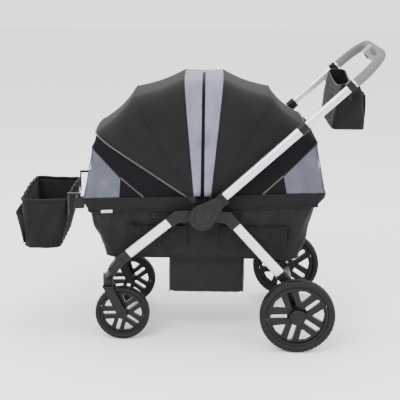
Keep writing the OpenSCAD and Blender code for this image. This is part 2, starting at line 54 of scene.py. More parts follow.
def mesh_grid(name, points, wrap_u=False, wrap_v=False, cap_u=False):
    """A quad mesh from points[u][v], wrapped round in u or v where asked.
    The UV map counts real distance in metres along the first row and column."""
    nu, nv = points.shape[:2]
    index = np.arange(nu * nv).reshape(nu, nv)
    faces, spots = [], []
    du = np.linalg.norm(np.diff(points[:, nv // 2], axis=0), axis=1)
    dv = np.linalg.norm(np.diff(points[nu // 2], axis=0), axis=1)
    s = np.concatenate([[0], np.cumsum(du), [du.sum() + du.mean()]])
    t = np.concatenate([[0], np.cumsum(dv), [dv.sum() + dv.mean()]])
    for i in range(nu if wrap_u else nu - 1):
        for j in range(nv if wrap_v else nv - 1):
            a, b = (i + 1) % nu, (j + 1) % nv
            faces.append([index[i, j], index[a, j], index[a, b], index[i, b]])
            spots += [(s[i], t[j]), (s[i + 1], t[j]), (s[i + 1], t[j + 1]), (s[i], t[j + 1])]
    if cap_u:
        for row in (index[0], index[-1]):
            half = nv // 2
            for j in range(half - 1):
                faces.append([row[j], row[j + 1], row[nv - 2 - j], row[nv - 1 - j]])
                spots += [(0, t[j]), (0, t[j + 1]), (0.002, t[j + 1]), (0.002, t[j])]
    mesh = bpy.data.meshes.new(name)
    mesh.from_pydata(points.reshape(-1, 3).tolist(), [], [[int(k) for k in f] for f in faces])
    uv = mesh.uv_layers.new(name="UVMap")
    uv.data.foreach_set("uv", np.array(spots, np.float32).ravel())
    mesh.polygons.foreach_set("use_smooth", [True] * len(mesh.polygons))
    bm = bmesh.new()
    bm.from_mesh(mesh)
    bmesh.ops.recalc_face_normals(bm, faces=bm.faces)
    bm.to_mesh(mesh)
    bm.free()
    obj = bpy.data.objects.new(name, mesh)
    bpy.context.scene.collection.objects.link(obj)
    return obj


def grid_normals(points, wrap_u=False):
    """Unit normals of points[u][v] from central differences."""
    if wrap_u:
        a = np.roll(points, -1, 0) - np.roll(points, 1, 0)
    else:
        a = np.gradient(points, axis=0)
    n = np.cross(a, np.gradient(points, axis=1))
    return n / np.maximum(np.linalg.norm(n, axis=2, keepdims=True), 1e-9)


def cloth_sheet(name, points, thick, wrap_u=False):
    """A closed sheet: points pushed half the thickness both ways along the
    normals, joined round the edges."""
    n = grid_normals(points, wrap_u) * thick / 2
    both = np.concatenate([points + n, (points - n)[:, ::-1]], axis=1)
    return mesh_grid(name, both, wrap_u=wrap_u, wrap_v=True, cap_u=not wrap_u)


def cord_along(name, path, radius, closed=False, sides=8):
    """A round tube of that radius swept along path, frames carried by
    projecting the last side vector, p + r (cos q a + sin q b)."""
    path = np.asarray(path, float)
    if closed:
        tangent = np.roll(path, -1, 0) - np.roll(path, 1, 0)
    else:
        tangent = np.gradient(path, axis=0)
    tangent /= np.linalg.norm(tangent, axis=1, keepdims=True)
    side_vec = np.cross(tangent[0], [0.3, 0.5, 0.81])
    rings = []
    q = np.linspace(0, 2 * math.pi, sides, endpoint=False)
    for p, d in zip(path, tangent):
        side_vec = side_vec - d * (side_vec @ d)
        side_vec /= np.linalg.norm(side_vec)
        other = np.cross(d, side_vec)
        rings.append(p + radius * (np.outer(np.cos(q), side_vec) + np.outer(np.sin(q), other)))
    if not closed:
        rings = [np.repeat(path[:1], sides, 0)] + rings + [np.repeat(path[-1:], sides, 0)]
    return mesh_grid(name, np.array(rings), wrap_u=closed, wrap_v=True)


def resample(corners, count, closed=False):
    """Points spread evenly along a line of corners."""
    c = np.asarray(corners, float)
    if closed:
        c = np.vstack([c, c[:1]])
    run = np.concatenate([[0], np.cumsum(np.linalg.norm(np.diff(c, axis=0), axis=1))])
    at = np.linspace(0, run[-1], count, endpoint=not closed)
    return np.stack([np.interp(at, run, c[:, k]) for k in range(c.shape[1])], axis=1)


def paint(obj, material):
    obj.data.materials.clear()
    obj.data.materials.append(material)
    return obj


def base_material(name, color, rough, metallic=0.0):
    mat = bpy.data.materials.new(name)
    mat.use_nodes = True
    shader = mat.node_tree.nodes["Principled BSDF"]
    shader.inputs["Base Color"].default_value = (*color, 1)
    shader.inputs["Roughness"].default_value = rough
    shader.inputs["Metallic"].default_value = metallic
    return mat, mat.node_tree, shader


def woven(name, color, rough=0.8, sheen=0.3, thread=900.0, slack=0.0):
    """Plain weave: warp and weft waves for the bump, slow noise for wear in
    the colour and for slack in the cloth."""
    mat, tree, shader = base_material(name, color, rough)
    shader.inputs["Sheen Weight"].default_value = sheen
    shader.inputs["Specular IOR Level"].default_value = 0.16
    shader.inputs["Sheen Roughness"].default_value = 0.5
    coord = tree.nodes.new("ShaderNodeTexCoord")
    height = None
    for direction in ("X", "Z"):
        wave = tree.nodes.new("ShaderNodeTexWave")
        wave.bands_direction = direction
        wave.inputs["Scale"].default_value = thread / 6.3
        wave.inputs["Distortion"].default_value = 0.4
        tree.links.new(coord.outputs["Object"], wave.inputs["Vector"])
        if height is None:
            height = wave.outputs["Fac"]
        else:
            add = tree.nodes.new("ShaderNodeMath")
            add.operation = "ADD"
            tree.links.new(height, add.inputs[0])
            tree.links.new(wave.outputs["Fac"], add.inputs[1])
            height = add.outputs[0]
    bump = tree.nodes.new("ShaderNodeBump")
    bump.inputs["Strength"].default_value = 0.25
    bump.inputs["Distance"].default_value = 0.0004
    tree.links.new(height, bump.inputs["Height"])
    slow = tree.nodes.new("ShaderNodeTexNoise")
    slow.inputs["Scale"].default_value = 14.0
    slow.inputs["Detail"].default_value = 3.0
    tree.links.new(coord.outputs["Object"], slow.inputs["Vector"])
    soft = tree.nodes.new("ShaderNodeBump")
    soft.inputs["Strength"].default_value = 0.5
    soft.inputs["Distance"].default_value = 0.004 + slack
    tree.links.new(slow.outputs["Fac"], soft.inputs["Height"])
    tree.links.new(soft.outputs["Normal"], bump.inputs["Normal"])
    tree.links.new(bump.outputs["Normal"], shader.inputs["Normal"])
    ramp = tree.nodes.new("ShaderNodeValToRGB")
    ramp.color_ramp.elements[0].position = 0.3
    ramp.color_ramp.elements[0].color = (*[c * 0.8 for c in color], 1)
    ramp.color_ramp.elements[1].position = 0.7
    ramp.color_ramp.elements[1].color = (*[min(1, c * 1.2) for c in color], 1)
    tree.links.new(slow.outputs["Fac"], ramp.inputs["Fac"])
    tree.links.new(ramp.outputs["Color"], shader.inputs["Base Color"])
    return mat


black_cloth = woven("black_polyester", (0.0055, 0.0052, 0.0060), rough=0.85, sheen=0.03)
well_cloth = woven("black_well_cloth", (0.005, 0.005, 0.0055), rough=0.6, sheen=0.02)
grey_cloth = woven("grey_polyester", (0.062, 0.065, 0.088), rough=0.6, sheen=0.1, slack=0.006)
visor_cloth = woven("light_grey_polyester", (0.125, 0.125, 0.175), rough=0.55, sheen=0.1)
piping_cloth = woven("grey_piping", (0.042, 0.042, 0.041), rough=0.5, sheen=0.05)
binding_cloth = woven("black_binding", (0.004, 0.004, 0.0044), rough=0.6, sheen=0.02)

# ---- Canopy bows' shape: each canopy is cloth sewn over four flat bows that
# share one pivot on each side. The bow goes up from the pivot, rounds a
# corner and crosses almost flat.


# Each canopy pivot lies 31 mm fore or aft of the hub and 50 mm above it; the
# bows reach 430 mm from it, and the visor's free edge stands at 93 degrees.
pivot_out = 0.031
pivot_up = 0.050
bow_reach = 0.43
visor_edge = 93.0


def bow_line(lift, count=61, start=0.07):
    """Points (across, radius) on a bow: leg, rounded corner, slightly
    crowned crossing, mirrored."""
    w, r, rc = 0.2275 + lift, 0.4325 + lift, 0.095
    foot = side + 0.0125 + lift
    q = np.linspace(0, math.pi / 2, 16)
    half = [[foot, start], [foot - 0.001, start + 0.055]]
    half += [[w - rc + rc * math.cos(a), r - rc + rc * math.sin(a)] for a in q]
    half += [[w * k, r + 0.004 * (1 - (k * w / (w - rc)) ** 2)] for k in (0.4, 0.2, 0.0)]
    half = np.array(half)
    full = np.vstack([half, half[-2::-1] * [-1, 1]])
    return resample(full, count)


def bow_place(line, way, degrees):
    """A bow line (across, radius) stood at an angle above the horizon on
    the front (way -1) or rear (way 1) canopy pivot."""
    a = math.radians(degrees)
    x = hub[0] + way * (pivot_out + line[:, 1] * math.cos(a))
    z = hub[2] + pivot_up + line[:, 1] * math.sin(a)
    return np.stack([x, line[:, 0], z], axis=1)


def canopy_panel(name, way, a0, a1, sag, wrinkle, lift0=0.0, lift1=0.0):
    """Cloth between two bows: straight from bow to bow, drawn in by sag in
    the middle, with pull wrinkles fanning out of the corners."""
    near = bow_place(bow_line(lift0, start=0.021 / math.sin(math.radians(a0))), way, a0)
    far = bow_place(bow_line(lift1, start=0.021 / math.sin(math.radians(a1))), way, a1)
    v = np.linspace(0, 1, 22)[None, :, None]
    p = near[:, None] * (1 - v) + far[:, None] * v
    mid = hub + [way * pivot_out, 0, pivot_up]
    out = p - mid
    reach = np.linalg.norm(out[:, :, [0, 2]], axis=2, keepdims=True)
    out[:, :, 1] *= 0.6
    out /= np.linalg.norm(out, axis=2, keepdims=True)
    u = np.linspace(-1, 1, p.shape[0])[:, None, None]
    full = np.clip(reach / 0.40, 0, 1) ** 2
    p = p - out * sag * np.sin(math.pi * v) * full
    fan = np.sin(26 * np.abs(u) + 9 * v) * np.exp(-((np.abs(u) - 0.52) / 0.16) ** 2)
    fan = fan + 0.5 * np.sin(40 * u - 5 * v + way) * np.exp(-((np.abs(u) - 0.8) / 0.14) ** 2)
    p = p + out * wrinkle * fan * np.sin(math.pi * v) * full
    return cloth_sheet(name, p, 0.0016)


# Canopy cloth: on each canopy, black polyester end and middle panels and a grey
# visor panel, sewn to the bows; each stretches between the two bows it joins.
bends = {"front": (33, 58, 83, 92.6), "rear": (39, 60, 83, 92.6)}
chain = {"front": ("chassis", "canopy_mid_front", "canopy_top_front", "canopy_visor_front"),
         "rear": ("chassis", "canopy_mid_rear", "canopy_top_rear", "canopy_visor_rear")}


def canopy_blend(obj):
    """Bakes the panel's placement into its points."""
    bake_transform(obj)


for which, way in (("front", -1), ("rear", 1)):
    ends = bends[which]
    end_cloth = canopy_panel("canopy_end_cloth_" + which, way, ends[0], ends[1] - 0.1, 0.010, 0.0048)
    paint(end_cloth, black_cloth)
    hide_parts("end_panel_" + which)
    canopy_blend(end_cloth)
    mid_cloth = canopy_panel(
        "canopy_mid_cloth_" + which, way, ends[1] + 0.1, ends[2] + 1.4, 0.008, 0.003, lift1=0.0045)
    paint(mid_cloth, black_cloth)
    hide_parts("mid_panel_" + which)
    canopy_blend(mid_cloth)
    line = bow_line(0.001, start=0.021)
    start_edge = bow_place(bow_line(0.0045, start=0.021), way, ends[2] + 1.6)
    end_edge = bow_place(line, way, visor_edge)
    rise = np.clip((end_edge[:, 2] - hub[2] - pivot_up) / bow_reach, 0, 1)
    end_edge[:, 0] = hub[0] + way * (0.0040 + 0.0020 * (1 - rise) ** 1.5)
    v = np.linspace(0, 1, 14)[None, :, None]
    low_part = np.clip(1 - rise[:, None, None] * 1.6, 0, 1)
    pulls = 0.0016 * low_part * np.sin(170 * start_edge[:, None, 2:3] + 5 * v) * np.sin(math.pi * v)
    puff = (0.0035 * np.sin(math.pi * v) + pulls) * np.array([0, 1, 0]) * np.sign(start_edge[:, None, 1:2])
    visor = cloth_sheet(
        "canopy_visor_cloth_" + which, start_edge[:, None] * (1 - v) + end_edge[:, None] * v + puff,
        0.0018)
    paint(visor, visor_cloth)
    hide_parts("visor_panel_" + which)
    canopy_blend(visor)

# Canopy seams: a grey piping along the lower edge of each canopy, flat felled
# seams over the middle bows and a black binding on the visor's edge.
for which, way in (("front", -1), ("rear", 1)):
    ends = bends[which]
    pipe = cord_along(
        "canopy_piping_" + which, bow_place(bow_line(0.002, 90, start=0.034), way, ends[0] - 0.5), 0.0034)
    paint(pipe, piping_cloth)
    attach(pipe, "chassis")
    for k, body in ((1, chain[which][1]), (2, chain[which][2])):
        seam_line = bow_line(0.0045 if k == 2 else 0.0005, 90, start=0.024)
        seam = cord_along(
            "canopy_seam_%s_%d" % (which, k), bow_place(seam_line, way, ends[k] + 1.5 * (k == 2)), 0.0024)
        paint(seam, binding_cloth)
        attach(seam, body)
    line = bow_place(bow_line(0.0015, 90, start=0.022), way, visor_edge)
    rise = np.clip((line[:, 2] - hub[2] - pivot_up) / bow_reach, 0, 1)
    line[:, 0] = hub[0] + way * (0.0042 + 0.0020 * (1 - rise) ** 1.5)
    edge = cord_along("visor_binding_" + which, line, 0.0016)
    paint(edge, binding_cloth)
    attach(edge, chain[which][3])

# Painted shade: a strip of black cloth inside the front visor's edge, behind the gap between the two
# visors, so the gap is dark where only the shade inside the canopy would show.
line = bow_place(bow_line(-0.007, 61, start=0.022), -1, visor_edge)
v = np.linspace(-1, 1, 7)[None, :, None]
strip = np.repeat(line[:, None], 7, axis=1)
strip[:, :, 0] = hub[0] + 0.021 * v[:, :, 0]
# painted shade: this black strip darkens the gap between the visors
gap_shade_strip = cloth_sheet("visor_gap_painted_shade", strip, 0.0014)
paint(gap_shade_strip, binding_cloth)
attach(gap_shade_strip, "canopy_visor_front")

# ---- Tub: a folded hem band round the rim rail over a tapering fabric tub.
# The plan outline is a rounded rectangle, tilted 2.15 degrees nose down.


def plan(x0, x1, half, corner, count):
    """Evenly spread points round a rounded rectangle, seen from above."""
    pts = []
    for cx, cy, a0 in ((x1 - corner, half - corner, 0), (x0 + corner, half - corner, 90),
                       (x0 + corner, -half + corner, 180), (x1 - corner, -half + corner, 270)):
        for a in np.radians(np.linspace(a0, a0 + 90, 12)):
            pts.append([cx + corner * math.cos(a), cy + corner * math.sin(a)])
    return resample(pts, count, closed=True)


tilt = math.radians(2.15)


def rim_frame(x, y, z):
    """From the tilted frame of the rim to the row frame."""
    return np.stack([hub[0] + x * math.cos(tilt) - z * math.sin(tilt), y,
                     hub[2] + 0.066 + x * math.sin(tilt) + z * math.cos(tilt)], axis=-1)


count = 360
ring = plan(-0.441, 0.453, side, 0.045, count)
run = np.linspace(0, 2 * math.pi, count, endpoint=False)
section = [
    (0.0008, -0.050), (-0.0008, -0.047), (0.0004, -0.040), (0.0022, -0.025), (0.0014, -0.008),
    (0.0006, 0.0005), (-0.0022, 0.0022), (-0.0052, 0.0008), (-0.0050, -0.020), (-0.0046, -0.049),
    (-0.0020, -0.0515)]
normal2 = np.stack(
    [np.roll(ring[:, 1], -1) - np.roll(ring[:, 1], 1), np.roll(ring[:, 0], 1) - np.roll(ring[:, 0], -1)],
    axis=1)
normal2 /= np.linalg.norm(normal2, axis=1, keepdims=True)


def end_taper(z, across):
    """How far the band leans in at the two ends: nothing down to 20 mm below
    the rim, then 34 mm at the rear end and 16 mm at the front."""
    lean = np.clip((-np.asarray(z) - 0.020) / 0.030, 0, 1) * across ** 2 * np.sign(across)
    return -np.where(across > 0, 0.034, 0.016) * lean


band = []
for out, z in section:
    ripple = 0.0012 * np.sin(31 * run + 60 * z) * (1 if out > 0 else 0.2) + 0.0016 * np.sin(13 * run)
    sagged = z + 0.0022 * np.sin(9 * run) * (1 if z < -0.03 else 0.1)
    xy = ring + normal2 * (out + ripple)[:, None]
    band.append(rim_frame(xy[:, 0] + end_taper(z, normal2[:, 0]), xy[:, 1], sagged))
hem = mesh_grid("tub_hem_band", np.array(band).transpose(1, 0, 2), wrap_u=True, wrap_v=True)
paint(hem, black_cloth)
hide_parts("tub_band")
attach(hem, "chassis")

# Hem seam: a felled seam where the band is sewn to the tub.
seam_ring = rim_frame(
    ring[:, 0] + normal2[:, 0] * 0.0008 + end_taper(-0.0495, normal2[:, 0]),
    ring[:, 1] + normal2[:, 1] * 0.0008, np.full(count, -0.0495) + 0.0022 * np.sin(9 * run))
hem_seam = cord_along("tub_hem_seam", seam_ring, 0.0022, closed=True)
paint(hem_seam, binding_cloth)
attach(hem_seam, "chassis")

# Tub wall: black polyester sewn under the band, tapering to the floor, with
# slanting pull folds; the floor has the opening of the foot well.
top_ring = plan(-0.422, 0.416, side - 0.004, 0.042, count)
low_ring = plan(-0.360, 0.363, side - 0.024, 0.045, count)
top_pts = rim_frame(top_ring[:, 0], top_ring[:, 1], np.full(count, -0.045))
low_pts = np.stack([hub[0] + low_ring[:, 0], low_ring[:, 1], np.full(count, hub[2] - 0.176)], axis=1)
v = np.linspace(0, 1, 34)[None, :, None]
wall = top_pts[:, None] * (1 - v) + low_pts[:, None] * v
nrm = grid_normals(wall, wrap_u=True)
nrm *= np.sign((nrm * (wall - (hub + [0.02, 0, -0.1]))).sum(2, keepdims=True))
angle = run[:, None, None]
folds = 0.0048 * np.sin(34 * angle + 5 * v) * np.sin(math.pi * v) ** 0.7
folds = folds + 0.0042 * np.sin(19 * angle - 9 * v + 1.3) * np.sin(math.pi * v)
folds = folds + 0.0026 * np.sin(71 * angle + 3 * v) * np.exp(-((v - 0.12) / 0.12) ** 2)
belly = 0.004 * np.sin(math.pi * v)
wall = wall + nrm * (folds * 0.75 - 0.001 + belly * 0.5)
tub_cloth = woven("gathered_polyester", (0.0060, 0.0056, 0.0064), rough=0.8, sheen=0.05, slack=0.012)
tub = cloth_sheet("tub_wall", wall, 0.0026, wrap_u=True)
paint(tub, tub_cloth)
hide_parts("tub_body")
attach(tub, "chassis")
hole = plan(-0.113, 0.150, 0.168, 0.012, count)
v = np.linspace(0, 1, 12)[None, :, None]
edge_low = np.stack([hub[0] + low_ring[:, 0], low_ring[:, 1], np.full(count, hub[2] - 0.1745)], axis=1)
edge_hole = np.stack([hub[0] + hole[:, 0], hole[:, 1], np.full(count, hub[2] - 0.1745)], axis=1)
floor_cloth = cloth_sheet(
    "tub_floor", edge_low[:, None] * (1 - v) + edge_hole[:, None] * v, 0.0024, wrap_u=True)
paint(floor_cloth, black_cloth)
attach(floor_cloth, "chassis")
low_seam = cord_along("tub_floor_piping", low_pts + [0, 0, 0.001], 0.0030, closed=True)
paint(low_seam, binding_cloth)
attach(low_seam, "chassis")

# Side pockets: flat patch pockets sewn on the tub, gathered by an elastic
# binding along the top; two on each side.
for s, hand in hands:
    for tag, x0, x1 in (("front", -0.285, -0.055), ("rear", 0.065, 0.315)):
        u = np.linspace(0, 1, 60)[:, None]
        w = np.linspace(0, 1, 18)[None, :]
        x = x0 + (x1 - x0) * u + 0 * w
        round_corner = 0.012 * (1 - np.sin(math.pi * u) ** 0.25) * w
        z = -0.046 - 0.006 * np.sin(math.pi * u) * (1 - w) - 0.092 * w + round_corner
        depth = np.clip((z + 0.030) / (-0.146), 0, 1)
        y = side - 0.004 - 0.020 * depth + 0.0028
        puff = 0.008 * np.sin(math.pi * u) ** 0.6 * np.sin(math.pi * (0.2 + 0.8 * w))
        puff = (
            puff + 0.003 * np.sin(58 * u + 3 * w) * np.sin(math.pi * u) ** 0.3 * np.exp(-2.5 * w)
            + 0.0015 * np.sin(23 * u - 14 * w) * np.sin(math.pi * w))
        y = s * (y + puff)
        spread = np.stack([hub[0] + x, y, hub[2] + z], axis=2)
        pocket = cloth_sheet("side_pocket_%s_%s" % (tag, hand), spread, 0.002)
        paint(pocket, black_cloth)
        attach(pocket, "chassis")
        rim_cord = np.stack([hub[0] + x[:, 0], y[:, 0] + s * 0.0012, hub[2] + z[:, 0]], axis=1)
        elastic = cord_along("pocket_elastic_%s_%s" % (tag, hand), rim_cord, 0.0019)
        paint(elastic, binding_cloth)
        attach(elastic, "chassis")

# Reflective tag: a small blank silver tape sewn below the band at each front
# corner of the tub's sides.
tag_mat = base_material("silver_tape", (0.42, 0.42, 0.43), 0.35, 0.3)[0]
for s, hand in hands:
    u = np.linspace(0, 1, 12)[:, None]
    w = np.linspace(0, 1, 5)[None, :]
    x = -0.372 + 0.042 * u + 0 * w
    z = -0.026 - 0.011 * w + 0.002 * u
    y = s * (side + 0.0032 + 0 * (u + w))
    spread = np.stack([hub[0] + x, y, hub[2] + z + 0.035], axis=2)
    tape = cloth_sheet("silver_tag_" + hand, spread, 0.001)
    paint(tape, tag_mat)
    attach(tape, "chassis")

# Foot well: a soft box of coated cloth under the floor opening, bulging a
# little, with piping sewn down its corners and round its bottom.
levels = np.linspace(0, 1, 26)
rows = []
for t in levels:
    ringw = plan(-0.121, 0.159, 0.173 - 0.004 * t, 0.010, 240)
    q = np.linspace(0, 2 * math.pi, 240, endpoint=False)
    bulge = 1 + 0.012 * math.sin(math.pi * t) * np.cos(2 * q) ** 2
    mid = np.array([0.0185, 0.0])
    ringw = mid + (ringw - mid) * bulge[:, None]
    turn = 0.014 * (1 - math.sqrt(1 - max(0.0, (t - 0.9) / 0.1) ** 2))
    ringw = ringw - np.sign(ringw - mid) * turn * (np.abs(ringw - mid) > 0.05)
    rows.append(
        np.stack(
            [
                hub[0] + ringw[:, 0], ringw[:, 1] + 0.0012 * np.sin(23 * q + 6 * t),
                np.full(240, hub[2] - 0.1765 - 0.152 * t)],
            axis=1))
for k in (0.75, 0.5, 0.25, 0.0):
    base = rows[25]
    c = base.mean(0)
    rows.append(c + (base - c) * [max(k, 0.02), max(k, 0.02), 1] + [0, 0, -0.002 * (1 - k)])
well = cloth_sheet("foot_well_cloth", np.array(rows).transpose(1, 0, 2), 0.003, wrap_u=True)
paint(well, well_cloth)
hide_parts("foot_well")
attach(well, "chassis")
well_pipe = cord_along("foot_well_piping", rows[25] + [0, 0, 0.001], 0.0034, closed=True)
paint(well_pipe, piping_cloth)
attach(well_pipe, "chassis")
for sx, x in ((0, -0.1205), (1, 0.1585)):
    for s in (-1, 1):
        line = [
            [hub[0] + x, s * (0.1715 - 0.004 * t), hub[2] - 0.178 - 0.148 * t]
            for t in np.linspace(0, 1, 12)]
        post = cord_along("well_corner_%d_%d" % (sx, s + 1), line, 0.003)
        paint(post, piping_cloth)
        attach(post, "chassis")

# Seat pads: quilted foam cushions on the seat boards, one at each end, 378 mm
# across and 27 mm thick.
pad_half_width = 0.189
pad_half_thick = 0.0135
pad_mat = woven("quilted_pad", (0.02, 0.02, 0.023), rough=0.8, sheen=0.05)
for which, x0, x1 in (("front", -0.346, -0.124), ("rear", 0.162, 0.347)):
    cu, cv = 48, 64
    a = np.linspace(0, 2 * math.pi, cu, endpoint=False)[:, None]
    b = np.linspace(-math.pi / 2, math.pi / 2, cv)[None, :]

    def power(val, e):
        return np.sign(val) * np.abs(val) ** e

    px = power(np.cos(b), 0.25) * power(np.cos(a), 0.3) * (x1 - x0) / 2
    pz = power(np.cos(b), 0.45) * power(np.sin(a), 0.7) * pad_half_thick
    py = power(np.sin(b), 0.5) * pad_half_width + 0 * a
    quilt = 0.0016 * (np.abs(np.sin(px * 70)) + np.abs(np.sin(py * 55)) - 1) * (pz > 0.003)
    pts = np.stack([hub[0] + (x0 + x1) / 2 + px, py, hub[2] - 0.1545 + pz + quilt], axis=2)
    cushion = mesh_grid("seat_cushion_" + which, pts, wrap_u=True)
    paint(cushion, pad_mat)
    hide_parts("pad_" + which)
    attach(cushion, "chassis")

# End walls: grey polyester round each end, from the rim up to the hoop, with
# a slanted edge on each side, and a black sleeve with mesh above it.


# The walls start 67.5 mm above the pivot, where the rim passes over it.
rim_line = 0.0675


def end_profile(way):
    """Lower and upper edge of the grey wall as (x, across, z) from the
    pivot: up one side, across the end and back on the other side."""
    if way < 0:
        low = [
            (-0.305, -0.234), (-0.431, -0.234), (-0.4370, -0.222), (-0.4370, 0.222), (-0.431, 0.234),
            (-0.305, 0.234)]
        up = [
            (-0.300, -0.231, 0.130), (-0.398, -0.212, 0.230), (-0.4055, -0.200, 0.236),
            (-0.4055, 0.200, 0.236), (-0.398, 0.212, 0.230), (-0.300, 0.231, 0.130)]
    else:
        low = [
            (0.308, -0.234), (0.443, -0.234), (0.4490, -0.222), (0.4490, 0.222), (0.443, 0.234),
            (0.308, 0.234)]
        up = [
            (0.295, -0.231, 0.146), (0.408, -0.212, 0.258), (0.416, -0.200, 0.264), (0.416, 0.200, 0.264),
            (0.408, 0.212, 0.258), (0.295, 0.231, 0.146)]
    low = [(x, y, rim_line + x * math.sin(tilt)) for x, y in low]
    n = (30, 6, 60, 6, 30)
    lo, hi = [], []
    for k, m in enumerate(n):
        t = np.linspace(0, 1, m, endpoint=(k == 4))[:, None]
        lo.append(np.array(low[k]) * (1 - t) + np.array(low[k + 1]) * t)
        hi.append(np.array(up[k]) * (1 - t) + np.array(up[k + 1]) * t)
    return np.vstack(lo), np.vstack(hi)


for which, way in (("front", -1), ("rear", 1)):
    lo, hi = end_profile(way)
    v = np.linspace(0, 1, 26)[None, :, None]
    p = lo[:, None] * (1 - v) + hi[:, None] * v
    n = grid_normals(p)
    n *= np.sign((n * (p - np.array([way * 0.2, 0, 0.1]))).sum(2, keepdims=True))
    u = np.linspace(0, 1, p.shape[0])[:, None, None]
    edge_fade = np.sin(math.pi * v) * np.sin(math.pi * np.clip(u, 0, 1)) ** 0.3
    creases = 0.0055 * np.sin(38 * np.abs(u - 0.5) - 7 * v + 0.6) * edge_fade
    creases = creases + 0.003 * np.sin(64 * np.abs(u - 0.5) + 6 * v) * edge_fade * (1 - v)
    p = p + n * (creases - 0.006 * edge_fade)
    grey = cloth_sheet("end_wall_cloth_" + which, p + hub, 0.0022)
    paint(grey, grey_cloth)
    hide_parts("end_wall_" + which)
    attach(grey, "chassis")
    top = cord_along("end_wall_binding_" + which, hi + hub, 0.0032)
    paint(top, binding_cloth)
    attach(top, "chassis")
    for s, hand in hands:
        foot_x = -0.216 if way < 0 else 0.220
        upper = np.array([hi[0, 0], s * abs(hi[0, 1]), hi[0, 2]])
        lower = np.array([foot_x, s * 0.2345, 0.066 + foot_x * math.sin(tilt)])
        slant_ends = [upper + hub + [0, s * 0.002, 0], lower + hub + [0, s * 0.002, 0.002]]
        slant = cord_along("hoop_piping_%s_%s" % (which, hand), resample(slant_ends, 20), 0.0034)
        paint(slant, piping_cloth)
        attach(slant, "chassis")
        turn_at = 33 if s < 0 else -34
        corner_ends = [
            lo[turn_at] + hub + [way * 0.001, 0, 0.002], hi[turn_at] + hub + [way * 0.001, 0, -0.003]]
        corner = cord_along("end_corner_piping_%s_%s" % (which, hand), resample(corner_ends, 16), 0.0024)
        paint(corner, grey_cloth)
        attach(corner, "chassis")

# Mesh windows: dark knitted mesh and sleeve cloth between the lower bow of
# each canopy, the grey wall and the rim.
mesh_mat, mesh_tree, mesh_shader = base_material("knitted_mesh", (0.004, 0.004, 0.005), 0.8)
mesh_shader.inputs["Specular IOR Level"].default_value = 0.08
clear = mesh_tree.nodes.new("ShaderNodeBsdfTransparent")
mix = mesh_tree.nodes.new("ShaderNodeMixShader")
holes = mesh_tree.nodes.new("ShaderNodeTexVoronoi")
holes.inputs["Scale"].default_value = 420.0
spot = mesh_tree.nodes.new("ShaderNodeMath")
spot.operation = "GREATER_THAN"
spot.inputs[1].default_value = 0.07
where = mesh_tree.nodes.new("ShaderNodeTexCoord")
mesh_tree.links.new(where.outputs["Object"], holes.inputs["Vector"])
mesh_tree.links.new(holes.outputs["Distance"], spot.inputs[0])
mesh_tree.links.new(spot.outputs[0], mix.inputs["Fac"])
mesh_tree.links.new(clear.outputs[0], mix.inputs[1])
mesh_tree.links.new(mesh_shader.outputs[0], mix.inputs[2])
mesh_tree.links.new(mix.outputs[0], mesh_tree.nodes["Material Output"].inputs["Surface"])
for which, way in (("front", -1), ("rear", 1)):
    lo, hi = end_profile(way)
    foot = -0.075 if way < 0 else 0.080
    near = lo[0, 0]
    bottom = [(foot, -0.2335), (near, -0.234)]
    start = [np.array([x, y, rim_line + x * math.sin(tilt)]) for x, y in bottom]
    path = np.vstack(
        [
            resample([start[0], start[1]], 24), resample([start[1], hi[0]], 10)[1:], hi[1:-1],
            resample([hi[-1], start[1] * [1, -1, 1]], 10),
            resample([start[1] * [1, -1, 1], start[0] * [1, -1, 1]], 24)[1:]])
    arch = bow_place(bow_line(-0.004, path.shape[0], start=0.062), way, bends[which][0] - 0.6)
    # both edges are walked by the share of their length that lies on the leg
    run_a = np.concatenate([[0], np.cumsum(np.linalg.norm(np.diff(arch, axis=0), axis=1))])
    legs = 0.355 / run_a[-1]
    share = np.linspace(0, 1, path.shape[0])
    leg_count = 24 + 9 + 30
    share_path = np.concatenate(
        [
            np.linspace(0, legs, leg_count, endpoint=False),
            np.linspace(legs, 1 - legs, path.shape[0] - 2 * leg_count, endpoint=False),
            np.linspace(1 - legs, 1, leg_count)])
    arch = np.stack([np.interp(share_path, run_a / run_a[-1], arch[:, k]) for k in range(3)], axis=1)
    if arch[0, 1] > 0:
        arch = arch[::-1]
    v = np.linspace(0, 1, 16)[None, :, None]
    p = arch[:, None] * (1 - v) + (path + hub)[:, None] * v
    net = cloth_sheet("mesh_window_" + which, p, 0.0014)
    paint(net, mesh_mat)
    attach(net, "chassis")
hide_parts("mesh_windows")

# ---- Front basket: a soft open box of black cloth with a stiff bound rim, a
# grey lining and a flap pocket on its far side.
levels = np.linspace(0, 1, 22)


def basket_ring(t, inset=0.0, n=220):
    """One level of the basket from the rim (t = 0) to its bottom (t = 1),
    drawn in a little and bulging between the seams."""
    x0, x1 = -0.673 + inset + 0.002 * t, -0.502 - inset - 0.034 * t ** 1.6
    r = plan(x0, x1, 0.189 - inset - 0.008 * t, 0.020 + 0.022 * t, n)
    q = np.linspace(0, 2 * math.pi, n, endpoint=False)
    bulge = (
        0.004 * math.sin(math.pi * t) * np.sin(2 * q + 0.4) + 0.0022 * np.sin(17 * q + 5 * t)
        + 0.003 * math.exp(-((t - 0.1) / 0.09) ** 2))
    mid = np.array([(x0 + x1) / 2, 0])
    out = r - mid
    r = r + out / np.linalg.norm(out, axis=1, keepdims=True) * bulge[:, None]
    z = 0.033 - 0.188 * t - 0.006 * np.sin(q * 2 + 0.8) * (1 - t)
    return np.stack([hub[0] + r[:, 0], r[:, 1], hub[2] + z], axis=1)


